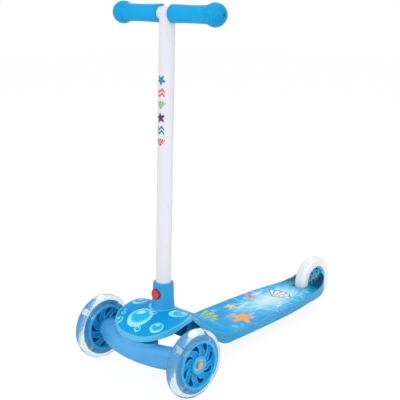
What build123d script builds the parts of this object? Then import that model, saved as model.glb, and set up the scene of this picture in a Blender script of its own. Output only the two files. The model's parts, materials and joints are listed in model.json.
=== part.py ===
from build123d import *
from math import asin, cos, degrees, radians, sin, sqrt
import os

os.makedirs("parts", exist_ok=True)

# A child's lean-to-steer scooter. Forward is -Y, the scooter's left is +X, and Z = 0 is the ground.
# Distances called "back" are measured behind the front axle.

# ---- wheels and axles ----
wheelbase = 497.0
front_wheel_radius = 60.0
rear_wheel_radius = 50.0
front_track = 233.4
front_tyre_width = 23.0
rear_tyre_width = 24.0
hub_face_radius = 42.4
rear_hub_radius = 31.0
front_core_width = 27.0
rear_core_width = 18.0
front_flange_radius = 51.0
front_flange_width = 15.0
rear_flange_radius = 37.0
rear_flange_width = 10.0
rear_window_count = 6
rim_wall = 4.0
front_web_recess = 5.5
rear_web_recess = 3.0
web_skin = 1.2
lip_width = 1.2
lip_height = 2.0
front_tyre_shoulder = 11.0
rear_tyre_shoulder = 8.0
light_width = 10.0
light_height = 5.5
light_depth = 8.0
light_count = 4
spoke_count = 8
bearing_outer_radius = 11.0
bearing_width = 7.0
bearing_recess = 0.8
axle_radius = 4.0
sleeve_radius = 6.2
bolt_head_radius = 6.5
bolt_head_height = 4.0
hex_socket_radius = 2.9
nut_radius = 7.0
nut_height = 6.0
thread_past_nut = 1.0
axle_insert_radius = 6.5
axle_insert_length = 18.0
bolt_chamfer = 0.8
bolt_end_gap = 2.0
tip_bore_gap = 0.2
tip_bore_extra = 3.0
bearing_bore_step = 2.0
shield_inset = 1.6
shield_bore_wall = 2.2
shield_depth = 0.6
notch_gap = 1.0
hub_wall = 4.5

# ---- fits ----
running_gap = 0.05
sliding_gap = 0.05
seat_gap = 0.05
free_gap = 0.3
wheel_side_gap = 2.5

# ---- deck ----
deck_top_z = 45.0
deck_thickness = 16.0
deck_wall = 3.0
head_crest_over_axle = 58.5
film_thickness = 0.5
film_inset = 2.5
rib_thickness = 2.4
rib_spacing = 40.0
rib_front = 78.0
rib_front_rise = 21.0
rib_lift = 1.0
first_cross_rib = 112.0
tail_overhang = 12.5
slot_gap = 3.0
cheek_seat_depth = 10.0
cheek_seat_radius = 7.4
post_thickness = 3.6

# ---- head outline ----
head_half_width = 69.5
head_front = 40.0
head_widest_back = 30.0
head_roundness = 2.6

# ---- stem and handlebar ----
stem_back = 42.5
stem_floor_z = 96.0
stem_rake = 1.96
stem_radius = 13.6
stem_wall = 1.5
socket_depth = 68.0
socket_floor = 4.0
socket_top_radius = 18.2
socket_base_radius = 20.0
socket_flare = 5.0
socket_flange = 3.0
socket_flange_radius = 28.0
socket_rim_chamfer = 0.8
socket_rim_wall = 5.0
spigot_step = 2.0
flare_start = 8.0
flare_end = 29.8
neck_hole_gap = 1.0
drain_radius = 5.0
screw_circle = 23.5
screw_count = 4
screw_radius = 1.9
screw_head_radius = 3.6
screw_head_height = 2.4
screw_length = 12.0
bar_height_on_stem = 531.3
bar_radius = 12.0
bar_half_length = 117.0
grip_radius = 15.6
grip_waist_radius = 14.6
grip_ball_radius = 19.4
grip_ball_x = 106.5
grip_hole_radius = 2.0

# ---- latch ----
button_below_rim = 19.6
button_gap = 0.15
button_ear_gap = 0.4
clip_end_below = 8.0
clip_leg_above = 12.0
clip_back_leg_below = 14.0
button_radius = 10.0
button_face = 20.3
button_chamfer = 0.8
ear_reach = 1.3
ear_height = 6.0
ear_front = 14.4
ear_root = 1.0
pin_radius = 4.0
pin_reach = 2.4
clip_clearance = 1.4
clip_thickness = 0.8

# ---- kingpin and front beam ----
pin_tilt = 25.0
pin_back = -6.0
pin_shaft_radius = 5.0
kingpin_thread_radius = 4.0
kingpin_insert_radius = 7.0
kingpin_insert_length = 11.0
kingpin_insert_gap = 2.0
kingpin_end_gap = 1.0
head_boss_length = 40.0
boss_clearance = 2.0
boss_room_height = 90.0
kingpin_washer = 1.6
kingpin_head_radius = 8.0
kingpin_head_height = 5.5
barrel_radius = 17.0
barrel_half_length = 21.0
bush_wall = 3.0
bush_length = 14.0
bush_flange_radius = 11.0
bush_flange = 1.5
head_boss_radius = 13.0
beam_height = 39.0
beam_drop = 2.5
beam_depth = 32.0
beam_bow = 25.0
beam_arc_radius = 200.0
beam_end_setback = 7.0
beam_corner = 13.0
beam_end_radius = 19.0
beam_wall = 4.0
beam_end_length = 22.0
pad_root = 4.0
pad_back = -18.0
pad_half_width = 46.0
pad_half_depth = 20.0
pad_height = 20.0
pocket_count = 4
pocket_first_angle = 8.0
pocket_angle = 5.0
pocket_width = 13.0
tongue_bottom = 5.0
tongue_top = 31.0
tongue_half_width = 4.0
tongue_reach = 27.0
spring_radius = 5.0
spring_wire = 1.6
spring_length = 19.6
spring_turns = 6
spring_height = 24.0

# ---- places worked out from the sizes above ----
front_axle_y = -(wheelbase + rear_wheel_radius - front_wheel_radius) / 2
rear_axle_y = front_axle_y + wheelbase
front_axle_z = front_wheel_radius
rear_axle_z = rear_wheel_radius
deck_bottom_z = deck_top_z - deck_thickness
head_crest_z = front_axle_z + head_crest_over_axle
slot_half_width = rear_tyre_width / 2 + slot_gap
wheel_x = front_track / 2
button_height_on_stem = socket_depth - button_below_rim
low_z = 5.0
hole_overrun = 30.0
pin_overrun = 60.0
clearing_height = 20.0


def back(distance):
    """Y of a point that lies this far behind the front axle."""
    return front_axle_y + distance


stem_plane = Plane(
    origin=(0, back(stem_back), stem_floor_z),
    x_dir=(1, 0, 0),
    z_dir=(0, sin(radians(stem_rake)), cos(radians(stem_rake))),
)
pin_plane = Plane(
    origin=(0, back(pin_back), front_axle_z),
    x_dir=(1, 0, 0),
    z_dir=(0, -sin(radians(pin_tilt)), cos(radians(pin_tilt))),
)

# ---- deck shape ----
# Cross-sections of the head and ramp: distance back, height of the crest and of the edges as a share
# of the head's rise above the deck, half width at the edges, depth of the side wall.
sections = [
    (-46, 0.560, 0.500, 69.0, 6.5),
    (-38, 0.622, 0.600, 69.0, 6.5),
    (-20, 0.772, 0.733, 69.0, 8.0),
    (0, 0.900, 0.833, 69.0, 10.5),
    (20, 0.980, 0.900, 69.0, 8.3),
    (43, 1.000, 0.943, 67.0, 9.0),
    (60, 0.940, 0.885, 57.0, 9.0),
    (75, 0.840, 0.710, 49.0, 6.5),
    (90, 0.720, 0.545, 48.5, 8.0),
    (105, 0.610, 0.380, 51.5, 12.0),
    (120, 0.495, 0.230, 55.0, 16.0),
    (135, 0.380, 0.115, 58.0, deck_thickness + 3.0),
    (150, 0.260, 0.045, 59.5, deck_thickness + 3.2),
    (168, 0.110, 0.010, 60.0, deck_thickness + 0.7),
    (183, 0.025, 0.000, 60.2, deck_thickness),
    (200, 0.000, 0.000, 60.3, deck_thickness),
]
ramp_end = sections[-1][0]
crown_power = 3
crown_spread = (-1.2, -1.0, -0.7, -0.35, 0.0, 0.35, 0.7, 1.0, 1.2)
head_rise = head_crest_z - deck_top_z

# Half widths of the foot board behind the head, and the rise of its top and underside at the tail.
board_half_widths = [(50, 64.0), (66, 53.5), (82, 47.5), (103, 50.0), (130, 56.5), (170, 60.0), (270, 60.3)]
tail_half_widths = [
    (wheelbase - 147, 57.7),
    (wheelbase - 97, 52.5),
    (wheelbase - 60, 47.3),
    (wheelbase - 28, 43.0),
    (wheelbase - 15, 39.5),
    (wheelbase - 6, 36.0),
    (wheelbase, 32.5),
]
tail_start = wheelbase - 60
tail_rises = [
    (wheelbase - 32, 1.8),
    (wheelbase - 17, 4.5),
    (wheelbase - 7, 9.5),
    (wheelbase, 14.3),
    (wheelbase + 6, 18.2),
    (wheelbase + tail_overhang - 0.5, 21.2),
]
underside_start = wheelbase - 67
underside_rises = [
    (wheelbase - 42, 0.4),
    (wheelbase - 15, 1.5),
    (wheelbase - 6, 4.5),
    (wheelbase + 3, 8.0),
    (wheelbase + tail_overhang - 1.5, 13.0),
]
tail_tip = wheelbase + tail_overhang
hollow_end = wheelbase - 29


def crown_section(distance, crest, edge, half_width, drop):
    """A closed cross-section of the head or ramp, its top lowered by drop."""
    crest_z = deck_top_z + crest * head_rise - drop
    edge_z = deck_top_z + edge * head_rise - drop
    crown = [
        (half_width * s, crest_z - (crest_z - edge_z) * abs(s) ** crown_power) for s in crown_spread
    ]
    with BuildSketch(Plane.XZ.offset(-back(distance))) as section:
        with BuildLine():
            top = Spline(*crown)
            Polyline(top @ 1, ((top @ 1).X, low_z), ((top @ 0).X, low_z), top @ 0)
        make_face()
    return section.sketch


def head_point(angle, inset):
    """A point on the rounded front of the head, in plan."""
    power = 2 / head_roundness
    x = (head_half_width - inset) * cos(radians(angle)) ** power
    y = head_widest_back - (head_front + head_widest_back - inset) * sin(radians(angle)) ** power
    return (x, back(y))


def deck_outline(inset):
    """The plan outline of the whole deck, drawn in from the edge by inset."""
    front = [head_point(angle, inset) for angle in (90, 70, 50, 30, 15)]
    sides = [(width - inset, back(d)) for d, width in board_half_widths + tail_half_widths]
    with BuildSketch() as outline:
        with BuildLine():
            widest = (head_half_width - inset, back(head_widest_back))
            right = Spline(*front, widest, *sides)
            tip = (slot_half_width, back(tail_tip - inset))
            corner = TangentArc(right @ 1, tip, tangent=right % 1)
            Line(corner @ 1, (0, back(tail_tip - inset)))
            mirror(about=Plane.YZ)
        make_face()
    return outline.sketch


def deck_body(drop, inset):
    """The deck as a block with its true top and plan outline, open to the ground below."""
    top_z = deck_top_z - drop
    with BuildPart() as body:
        loft(sections=[crown_section(d, crest, edge, w, drop) for d, crest, edge, w, depth in sections])
        with BuildSketch(Plane.YZ) as side:
            with BuildLine():
                start = (back(ramp_end), top_z)
                flat = Line(start, (back(tail_start), top_z))
                rises = [(back(d), top_z + rise) for d, rise in tail_rises]
                curl = Spline(flat @ 1, *rises, tangents=[(1, 0), (1, 0.5)])
                lower_d, lower_rise = underside_rises[-1]
                lower = (back(lower_d), deck_bottom_z + lower_rise)
                blunt = (back(tail_tip), (lower[1] + (curl @ 1).Y) / 2)
                end = ThreePointArc(curl @ 1, blunt, lower)
                Polyline(end @ 1, (lower[0], low_z), (start[0], low_z), start)
            make_face()
        extrude(side.sketch, amount=head_half_width + 5, both=True)
        extrude(deck_outline(inset), amount=head_crest_z + clearing_height, mode=Mode.INTERSECT)
    return body.part


def below_deck():
    """Everything under the deck's lower edge, as one block."""
    arch = [(back(d), deck_top_z + edge * head_rise - depth) for d, crest, edge, width, depth in sections]
    with BuildPart() as block:
        with BuildSketch(Plane.YZ):
            with BuildLine():
                front = Spline(*arch)
                flat = Line(front @ 1, (back(underside_start), deck_bottom_z))
                rises = [(back(d), deck_bottom_z + rise) for d, rise in underside_rises]
                curl = Spline(flat @ 1, *rises, tangents=[(1, 0), (1, 0.7)])
                outside = back(tail_tip + deck_thickness)
                Polyline(curl @ 1, (outside, (curl @ 1).Y), (outside, 0), ((front @ 0).X, 0), front @ 0)
            make_face()
        extrude(amount=head_half_width + 5, both=True)
    return block.part


def stem_cylinder(radius, start, end):
    """A round bar on the stem's axis, between two heights above the socket's floor."""
    with BuildPart() as bar:
        with BuildSketch(stem_plane.offset(start)):
            Circle(radius)
        extrude(amount=end - start)
    return bar.part


def pin_cylinder(radius, start, end):
    """A round bar on the kingpin's axis, between two heights above the front axle."""
    with BuildPart() as bar:
        with BuildSketch(pin_plane.offset(start)):
            Circle(radius)
        extrude(amount=end - start)
    return bar.part


def axle_cylinder(radius, start, end, y, z):
    """A round bar along X, between two values of X."""
    with BuildPart() as bar:
        with BuildSketch(Plane.YZ.offset(start)):
            with Locations((y, z)):
                Circle(radius)
        extrude(amount=end - start)
    return bar.part


# ---- sizes that the pieces share ----
slot_front = wheelbase - rear_wheel_radius - 2 * slot_gap
cross_rib_count = int((slot_front - first_cross_rib) / rib_spacing) + 1
rib_split = ramp_end - seat_gap
spigot_radius = socket_base_radius - spigot_step
collar_radius = socket_flange_radius + 1
boss_face = barrel_half_length + bush_flange + seat_gap
insert_start = boss_face + kingpin_insert_gap
insert_end = insert_start + kingpin_insert_length
post_inner_x = tongue_half_width + spring_length + 2 * free_gap
spring_middle = pin_plane.from_local_coords(Vector(0, tongue_reach - spring_radius, spring_height))
grip_inner_end = stem_radius + free_gap
bar_point = stem_plane.from_local_coords(Vector(0, 0, bar_height_on_stem))
bar_plane = Plane(origin=bar_point, x_dir=(1, 0, 0), z_dir=(0, -1, 0))
button_plane = Plane(
    origin=stem_plane.from_local_coords(Vector(0, 0, button_height_on_stem)),
    x_dir=(1, 0, 0),
    z_dir=-stem_plane.y_dir,
)
button_back = stem_radius + pin_reach + free_gap
rear_seat_x = slot_half_width + cheek_seat_depth
beam_end_x = wheel_x - front_core_width / 2 - wheel_side_gap
beam_arc_y = back(beam_arc_radius - beam_bow)
beam_arc_angle = degrees(asin((beam_end_x - beam_end_setback) / beam_arc_radius))


def ring(inner, outer, start, end, y, z):
    """A plain ring along X between two values of X."""
    with BuildPart() as part:
        with BuildSketch(Plane.YZ.offset(start)):
            with Locations((y, z)):
                Circle(outer)
                Circle(inner, mode=Mode.SUBTRACT)
        extrude(amount=end - start)
    return part.part


def both_sides(piece):
    """A piece and its mirror image on the other side of the scooter."""
    with BuildPart() as pair:
        add(piece)
        mirror(about=Plane.YZ)
    return pair.part


def save(piece, label):
    """Label one finished piece and write it to its own file."""
    piece.label = label
    export_step(piece, "parts/" + label + ".step")


# ---- deck moulding ----
outer_block = deck_body(0, 0)

with BuildPart() as inner_block:
    with BuildSketch(Plane.XY):
        with Locations((0, back((hollow_end - head_front) / 2))):
            Rectangle(2 * head_half_width, hollow_end + head_front)
    extrude(amount=head_crest_z)
    add(deck_body(deck_wall, deck_wall), mode=Mode.INTERSECT)

with BuildPart() as slot_lining:
    with BuildSketch(Plane.XY):
        with Locations((0, back((slot_front + wheelbase) / 2))):
            Rectangle(2 * (slot_half_width + deck_wall), wheelbase - slot_front + 2 * deck_wall)
    extrude(amount=head_crest_z)
    add(inner_block.part, mode=Mode.INTERSECT)
    add(below_deck(), mode=Mode.SUBTRACT)

with BuildPart() as deck:
    add(outer_block)
    add(below_deck(), mode=Mode.SUBTRACT)
    add(inner_block.part, mode=Mode.SUBTRACT)
    add(slot_lining.part)
    # boss for the kingpin, posts for the steering springs, collar round the socket's spigot
    add(pin_cylinder(head_boss_radius, boss_face, boss_face + head_boss_length))
    for side in (-1, 1):
        with BuildSketch(Plane.XY.offset(spring_middle.Z - spring_radius - 1)):
            with Locations((side * (post_inner_x + post_thickness / 2), spring_middle.Y)):
                Rectangle(post_thickness, 2 * spring_radius + 2)
        extrude(amount=head_crest_z)
    add(stem_cylinder(collar_radius, -socket_floor, socket_depth / 3))
    add(outer_block, mode=Mode.INTERSECT)
    # wheel slot, axle holes and seats, socket hole, screw holes and kingpin hole
    with BuildSketch(Plane.XY):
        with Locations((0, back(slot_front + wheelbase / 2))):
            Rectangle(2 * slot_half_width, wheelbase)
    extrude(amount=head_crest_z, mode=Mode.SUBTRACT)
    axle_hole = axle_cylinder(axle_radius + seat_gap, -rear_seat_x, rear_seat_x, rear_axle_y, rear_axle_z)
    add(axle_hole, mode=Mode.SUBTRACT)
    seat_hole = axle_cylinder(cheek_seat_radius, rear_seat_x, head_half_width, rear_axle_y, rear_axle_z)
    add(both_sides(seat_hole), mode=Mode.SUBTRACT)
    add(stem_cylinder(spigot_radius + seat_gap, -hole_overrun, socket_depth), mode=Mode.SUBTRACT)
    with BuildSketch(stem_plane.offset(-socket_floor)):
        with PolarLocations(screw_circle, screw_count, start_angle=45):
            Circle(screw_radius)
    extrude(amount=screw_length, mode=Mode.SUBTRACT)
    add(pin_cylinder(pin_shaft_radius + seat_gap, -hole_overrun, insert_start), mode=Mode.SUBTRACT)
    add(pin_cylinder(kingpin_insert_radius, insert_start, insert_end), mode=Mode.SUBTRACT)
save(deck.part, "deck")

# ---- grid of stiffening ribs under the ramp and the foot board ----
with BuildPart() as deck_ribs:
    for x in (-post_inner_x - rib_thickness / 2, 0, post_inner_x + rib_thickness / 2):
        with BuildSketch(Plane.XY):
            with Locations((x, back(wheelbase / 2))):
                Rectangle(rib_thickness, wheelbase)
        extrude(amount=head_crest_z)
    for step in range(cross_rib_count):
        with BuildSketch(Plane.XY):
            with Locations((0, back(first_cross_rib + step * rib_spacing))):
                Rectangle(2 * head_half_width, rib_thickness)
        extrude(amount=head_crest_z)
    # the ribs slope down behind the arch and then run level, just above the deck's lower edge
    with BuildSketch(Plane.YZ):
        rib_z = deck_bottom_z + rib_lift
        with BuildLine():
            Polyline(
                (back(rib_front), rib_z + rib_front_rise),
                (back(first_cross_rib), rib_z),
                (back(wheelbase), rib_z),
                (back(wheelbase), head_crest_z),
                (back(rib_front), head_crest_z),
                close=True,
            )
        make_face()
    extrude(amount=head_half_width, both=True, mode=Mode.INTERSECT)
    add(deck_body(deck_wall + seat_gap, deck_wall + seat_gap), mode=Mode.INTERSECT)
    # the grid is in two parts, under the ramp and under the board, and stops round the wheel slot
    with BuildSketch(Plane.XY):
        with Locations((0, back(rib_split))):
            Rectangle(2 * head_half_width, 2 * seat_gap)
        with Locations((0, back(slot_front - deck_wall - seat_gap + wheelbase / 2))):
            Rectangle(2 * (slot_half_width + deck_wall + seat_gap), wheelbase)
        with Locations((0, back(hollow_end - seat_gap + wheelbase / 2))):
            Rectangle(2 * head_half_width, wheelbase)
    extrude(amount=head_crest_z, mode=Mode.SUBTRACT)
save(deck_ribs.part, "deck_ribs")

# ---- printed films on the head and on the foot board ----
film_block = deck_body(-film_thickness, film_inset)
film_bed = deck_body(-seat_gap, 0)
neck_hole = stem_cylinder(socket_base_radius + socket_flare + neck_hole_gap, -hole_overrun, socket_depth)
head_film_outline = [(35, 65.5), (50, 59.0), (64, 48.0), (78, 40.0), (92, 34.0)]

with BuildPart() as nose_film:
    with BuildSketch(Plane.XY) as outline:
        with BuildLine():
            front = [head_point(angle, film_inset) for angle in (90, 70, 50, 30, 15)]
            side = Spline(*front, *[(width, back(d)) for d, width in head_film_outline])
            Line(side @ 1, (0, back(head_film_outline[-1][0])))
            mirror(about=Plane.YZ)
        make_face()
    extrude(amount=head_crest_z + clearing_height)
    add(film_block, mode=Mode.INTERSECT)
    add(film_bed, mode=Mode.SUBTRACT)
    add(neck_hole, mode=Mode.SUBTRACT)
save(nose_film.part, "nose_film")

with BuildPart() as deck_film:
    with BuildSketch(Plane.XY):
        film_start = head_film_outline[-1][0] + 1
        with Locations((0, back((film_start + tail_tip) / 2))):
            Rectangle(2 * head_half_width, tail_tip - film_start)
    extrude(amount=head_crest_z + clearing_height)
    add(film_block, mode=Mode.INTERSECT)
    add(film_bed, mode=Mode.SUBTRACT)
    with BuildSketch(Plane.XY):
        with Locations((0, back(slot_front + wheelbase / 2))):
            Rectangle(2 * slot_half_width + film_thickness, wheelbase + film_thickness)
    extrude(amount=head_crest_z, mode=Mode.SUBTRACT)
save(deck_film.part, "deck_film")

# ---- stem socket ----
bore_radius = stem_radius + sliding_gap

with BuildPart() as socket_barrel:
    with BuildSketch(Plane.XZ) as profile:
        with BuildLine():
            foot = (socket_base_radius + 2 * socket_flare, flare_start)
            neck = (socket_base_radius, flare_end)
            rise = Spline(foot, neck, tangents=[(-1, 0.6), (-0.03, 1)], tangent_scalars=[1.2, 1.0])
            rim = (socket_top_radius, socket_depth)
            Polyline(rise @ 1, rim, (0, socket_depth), (0, flare_start), foot)
        make_face()
    revolve(axis=Axis.Z)
    chamfer(edges().group_by(Axis.Z)[-1], socket_rim_chamfer)

with BuildPart() as stem_socket:
    add(socket_barrel.part.moved(stem_plane.location))
    add(outer_block, mode=Mode.SUBTRACT)
    add(stem_cylinder(spigot_radius, -socket_floor, socket_depth - socket_rim_wall))
    add(stem_cylinder(socket_flange_radius, -socket_floor - socket_flange, -socket_floor - seat_gap))
    add(stem_cylinder(spigot_radius - spigot_step, -socket_floor - socket_flange, 0))
    add(stem_cylinder(bore_radius, 0, socket_depth + hole_overrun), mode=Mode.SUBTRACT)
    add(stem_cylinder(drain_radius, -hole_overrun, socket_floor), mode=Mode.SUBTRACT)
    with BuildSketch(button_plane):
        Circle(button_radius + button_gap)
    extrude(amount=2 * socket_base_radius, mode=Mode.SUBTRACT)
    with BuildSketch(button_plane.offset(button_radius)):
        Rectangle(2 * (button_radius + ear_reach) + button_ear_gap, ear_height + 2 * button_ear_gap)
    extrude(amount=ear_front + button_gap - button_radius, mode=Mode.SUBTRACT)
    with BuildSketch(stem_plane.offset(-hole_overrun)):
        with PolarLocations(screw_circle, screw_count, start_angle=45):
            Circle(screw_radius + free_gap)
    extrude(amount=hole_overrun, mode=Mode.SUBTRACT)
save(stem_socket.part, "stem_socket")

with BuildPart() as socket_screws:
    screw_seat = -socket_floor - socket_flange
    with BuildSketch(stem_plane.offset(screw_seat)):
        with PolarLocations(screw_circle, screw_count, start_angle=45):
            Circle(screw_head_radius)
    extrude(amount=-screw_head_height)
    with BuildSketch(stem_plane.offset(screw_seat)):
        with PolarLocations(screw_circle, screw_count, start_angle=45):
            Circle(screw_radius)
    extrude(amount=socket_flange + screw_length)
save(socket_screws.part, "socket_screws")

# ---- release button, captive in the socket wall ----
with BuildPart() as release_button:
    with BuildSketch(button_plane):
        Circle(button_radius)
    extrude(amount=button_face)
    chamfer(edges().sort_by(Axis.Y)[0], button_chamfer)
    add(stem_cylinder(button_back, 0, socket_depth + hole_overrun), mode=Mode.SUBTRACT)
    ear_back = sqrt(button_back**2 - button_radius**2)
    with BuildSketch(button_plane.offset(ear_back)):
        ear_x = button_radius + (ear_reach - ear_root) / 2
        with Locations((ear_x, 0), (-ear_x, 0)):
            Rectangle(ear_reach + ear_root, ear_height)
    extrude(amount=ear_front - ear_back)
save(release_button.part, "release_button")

# ---- handlebar ----
with BuildPart() as stem_tube:
    with BuildSketch(stem_plane.offset(free_gap)):
        Circle(stem_radius)
        Circle(stem_radius - stem_wall, mode=Mode.SUBTRACT)
    extrude(amount=bar_height_on_stem - free_gap)
    with BuildSketch(button_plane):
        Circle(pin_radius + free_gap)
    extrude(amount=2 * stem_radius, mode=Mode.SUBTRACT)
    add(axle_cylinder(bar_radius, -hole_overrun, hole_overrun, bar_point.Y, bar_point.Z), mode=Mode.SUBTRACT)
save(stem_tube.part, "stem_tube")

crossbar = ring(
    bar_radius - stem_wall, bar_radius, -bar_half_length, bar_half_length, bar_point.Y, bar_point.Z
)
save(crossbar, "crossbar")

with BuildPart() as snap_clip:
    clip_y = stem_radius - stem_wall - clip_clearance
    with BuildSketch(Plane(stem_plane.origin, x_dir=stem_plane.y_dir, z_dir=(1, 0, 0))) as strip:
        with BuildLine():
            leg_top = button_height_on_stem + clip_leg_above
            front_leg = Line((-clip_y, button_height_on_stem - clip_end_below), (-clip_y, leg_top))
            bend = ThreePointArc(front_leg @ 1, (0, leg_top + clip_y), (clip_y, leg_top))
            Line(bend @ 1, (clip_y, button_height_on_stem - clip_back_leg_below))
        trace(line_width=clip_thickness)
    extrude(amount=pin_radius, both=True)
    with BuildSketch(button_plane.offset(clip_y)):
        Circle(pin_radius)
    extrude(amount=stem_radius + pin_reach - clip_y)
    chamfer(edges().sort_by(Axis.Y)[0], pin_radius / 3)
save(snap_clip.part, "snap_clip")


def grip(side):
    """A rubber grip with a waisted body and a ball end, side = 1 for the scooter's left."""
    bore_end = bar_half_length + free_gap
    ball_end = grip_ball_x + grip_ball_radius
    ball_join_x = grip_ball_x - sqrt(grip_ball_radius**2 - grip_radius**2)
    with BuildPart() as part:
        with BuildSketch(bar_plane):
            with BuildLine():
                inner = (grip_inner_end, bar_radius + seat_gap)
                start = (grip_inner_end, grip_radius)
                waist = ((grip_inner_end + ball_join_x) / 2, grip_waist_radius)
                body = Spline(start, waist, (ball_join_x, grip_radius - 0.4))
                ball_top = (grip_ball_x, grip_ball_radius)
                ball = ThreePointArc(body @ 1, ball_top, (ball_end - 0.1, grip_hole_radius))
                Polyline(
                    ball @ 1,
                    (bore_end, grip_hole_radius),
                    (bore_end, bar_radius + seat_gap),
                    inner,
                    start,
                )
            make_face()
        revolve(axis=Axis(bar_point, (1, 0, 0)))
    return part.part if side > 0 else part.part.mirror(Plane.YZ)


save(grip(1), "grip_left")
save(grip(-1), "grip_right")

# ---- kingpin ----
head_level = -boss_face - kingpin_washer
with BuildPart() as kingpin_bolt:
    add(pin_cylinder(pin_shaft_radius, head_level, insert_start - seat_gap))
    add(pin_cylinder(kingpin_thread_radius, head_level, insert_end - kingpin_end_gap))
    with BuildSketch(pin_plane.offset(head_level)):
        RegularPolygon(kingpin_head_radius, 6)
    extrude(amount=-kingpin_head_height)
save(kingpin_bolt.part, "kingpin_bolt")

with BuildPart() as kingpin_insert:
    add(pin_cylinder(kingpin_insert_radius, insert_start, insert_end))
    add(pin_cylinder(kingpin_thread_radius, insert_start, insert_end), mode=Mode.SUBTRACT)
save(kingpin_insert.part, "kingpin_insert")

with BuildPart() as kingpin_washer_ring:
    add(pin_cylinder(bush_flange_radius, -boss_face - kingpin_washer, -boss_face))
    add(pin_cylinder(pin_shaft_radius + seat_gap, -pin_overrun, 0), mode=Mode.SUBTRACT)
save(kingpin_washer_ring.part, "kingpin_washer")

with BuildPart() as pivot_bushes:
    for end in (-1, 1):
        with BuildSketch(pin_plane.offset(end * (barrel_half_length - bush_length))):
            Circle(pin_shaft_radius + bush_wall)
        extrude(amount=end * bush_length)
        with BuildSketch(pin_plane.offset(end * barrel_half_length)):
            Circle(bush_flange_radius)
        extrude(amount=end * bush_flange)
    add(pin_cylinder(pin_shaft_radius + running_gap, -pin_overrun, pin_overrun), mode=Mode.SUBTRACT)
save(pivot_bushes.part, "pivot_bushes")

# ---- front beam ----
with BuildPart() as front_beam:
    with BuildSketch(Plane.YZ):
        with Locations((beam_arc_y - beam_arc_radius, front_axle_z - beam_drop)):
            RectangleRounded(beam_depth, beam_height, beam_corner)
    revolve(axis=Axis((0, beam_arc_y, 0), (0, 0, 1)), revolution_arc=beam_arc_angle)
    mirror(about=Plane.YZ)
    beam_end_start = beam_end_x - beam_end_length
    beam_end = axle_cylinder(beam_end_radius, beam_end_start, beam_end_x, front_axle_y, front_axle_z)
    add(both_sides(beam_end))
    with BuildSketch(Plane.XY.offset(front_axle_z - pad_root)):
        with Locations((0, back(pad_back))):
            Ellipse(pad_half_width, pad_half_depth)
    extrude(amount=pad_height + pad_root)
    add(pin_cylinder(barrel_radius, -barrel_half_length, barrel_half_length))
    with BuildSketch(pin_plane.offset(tongue_bottom)):
        with Locations((0, (tongue_reach + barrel_radius / 2) / 2)):
            Rectangle(2 * tongue_half_width, tongue_reach - barrel_radius / 2)
    extrude(amount=tongue_top - tongue_bottom)
    # pockets under the beam, with webs left between them
    for end in (-1, 1):
        for step in range(pocket_count):
            angle = end * (pocket_first_angle + step * pocket_angle) - 90
            with BuildSketch(Plane.XY.offset(front_axle_z - beam_drop - beam_height)):
                with Locations(Location((0, beam_arc_y, 0), (0, 0, angle))):
                    with Locations((beam_arc_radius, 0)):
                        Rectangle(beam_depth - 2.5 * beam_wall, pocket_width)
            extrude(amount=1.5 * beam_height - beam_wall, mode=Mode.SUBTRACT)
    # bores for the bushes, room for the head's boss, bores for the threaded inserts
    add(pin_cylinder(pin_shaft_radius + bush_wall, -pin_overrun, pin_overrun), mode=Mode.SUBTRACT)
    boss_room = pin_cylinder(head_boss_radius + boss_clearance, barrel_half_length, boss_room_height)
    add(boss_room, mode=Mode.SUBTRACT)
    insert_bore = axle_cylinder(
        axle_insert_radius, beam_end_x - axle_insert_length, beam_end_x, front_axle_y, front_axle_z
    )
    add(both_sides(insert_bore), mode=Mode.SUBTRACT)
    tip_bore = axle_cylinder(
        axle_radius + tip_bore_gap, beam_end_x - axle_insert_length - tip_bore_extra, beam_end_x,
        front_axle_y, front_axle_z
    )
    add(both_sides(tip_bore), mode=Mode.SUBTRACT)
save(front_beam.part, "front_beam")


def steering_spring(side):
    """A coil spring between the beam's tongue and its post, along X."""
    start_x = tongue_half_width + free_gap + spring_wire / 2
    height = spring_length - spring_wire
    with BuildPart() as coil:
        with BuildLine():
            path = Helix(
                pitch=height / spring_turns, height=height, radius=spring_radius - spring_wire / 2
            )
        with BuildSketch(Plane(path @ 0, z_dir=path % 0)):
            Circle(spring_wire / 2)
        sweep(path=path, is_frenet=True)
    start = (side * start_x, spring_middle.Y, spring_middle.Z)
    axis_plane = Plane(start, x_dir=(0, 1, 0), z_dir=(side, 0, 0))
    return coil.part.moved(axis_plane.location)


save(steering_spring(1), "steering_spring_left")
save(steering_spring(-1), "steering_spring_right")

# ---- front axles ----
bearing_outer_x = wheel_x + front_core_width / 2 - bearing_recess
bearing_inner_x = wheel_x - front_core_width / 2 + bearing_recess
insert_inner_x = beam_end_x - axle_insert_length

with BuildPart() as axle_bolt:
    bolt_tip_x = insert_inner_x - bolt_end_gap
    add(axle_cylinder(axle_radius, bolt_tip_x, bearing_outer_x + seat_gap, front_axle_y, front_axle_z))
    with BuildSketch(Plane.YZ.offset(bearing_outer_x + seat_gap)):
        with Locations((front_axle_y, front_axle_z)):
            Circle(bolt_head_radius)
    extrude(amount=bolt_head_height)
    chamfer(edges().sort_by(Axis.X)[-1], bolt_chamfer)
    with BuildSketch(Plane.YZ.offset(bearing_outer_x + bolt_head_height)):
        with Locations((front_axle_y, front_axle_z)):
            RegularPolygon(hex_socket_radius, 6)
    extrude(amount=-0.7 * bolt_head_height, mode=Mode.SUBTRACT)
save(both_sides(axle_bolt.part), "front_axle_bolts")

axle_insert = ring(axle_radius, axle_insert_radius, insert_inner_x, beam_end_x, front_axle_y, front_axle_z)
save(both_sides(axle_insert), "front_axle_inserts")

axle_sleeve = ring(
    axle_radius + seat_gap, sleeve_radius, beam_end_x, bearing_inner_x - seat_gap, front_axle_y, front_axle_z
)
save(both_sides(axle_sleeve), "front_axle_sleeves")


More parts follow.
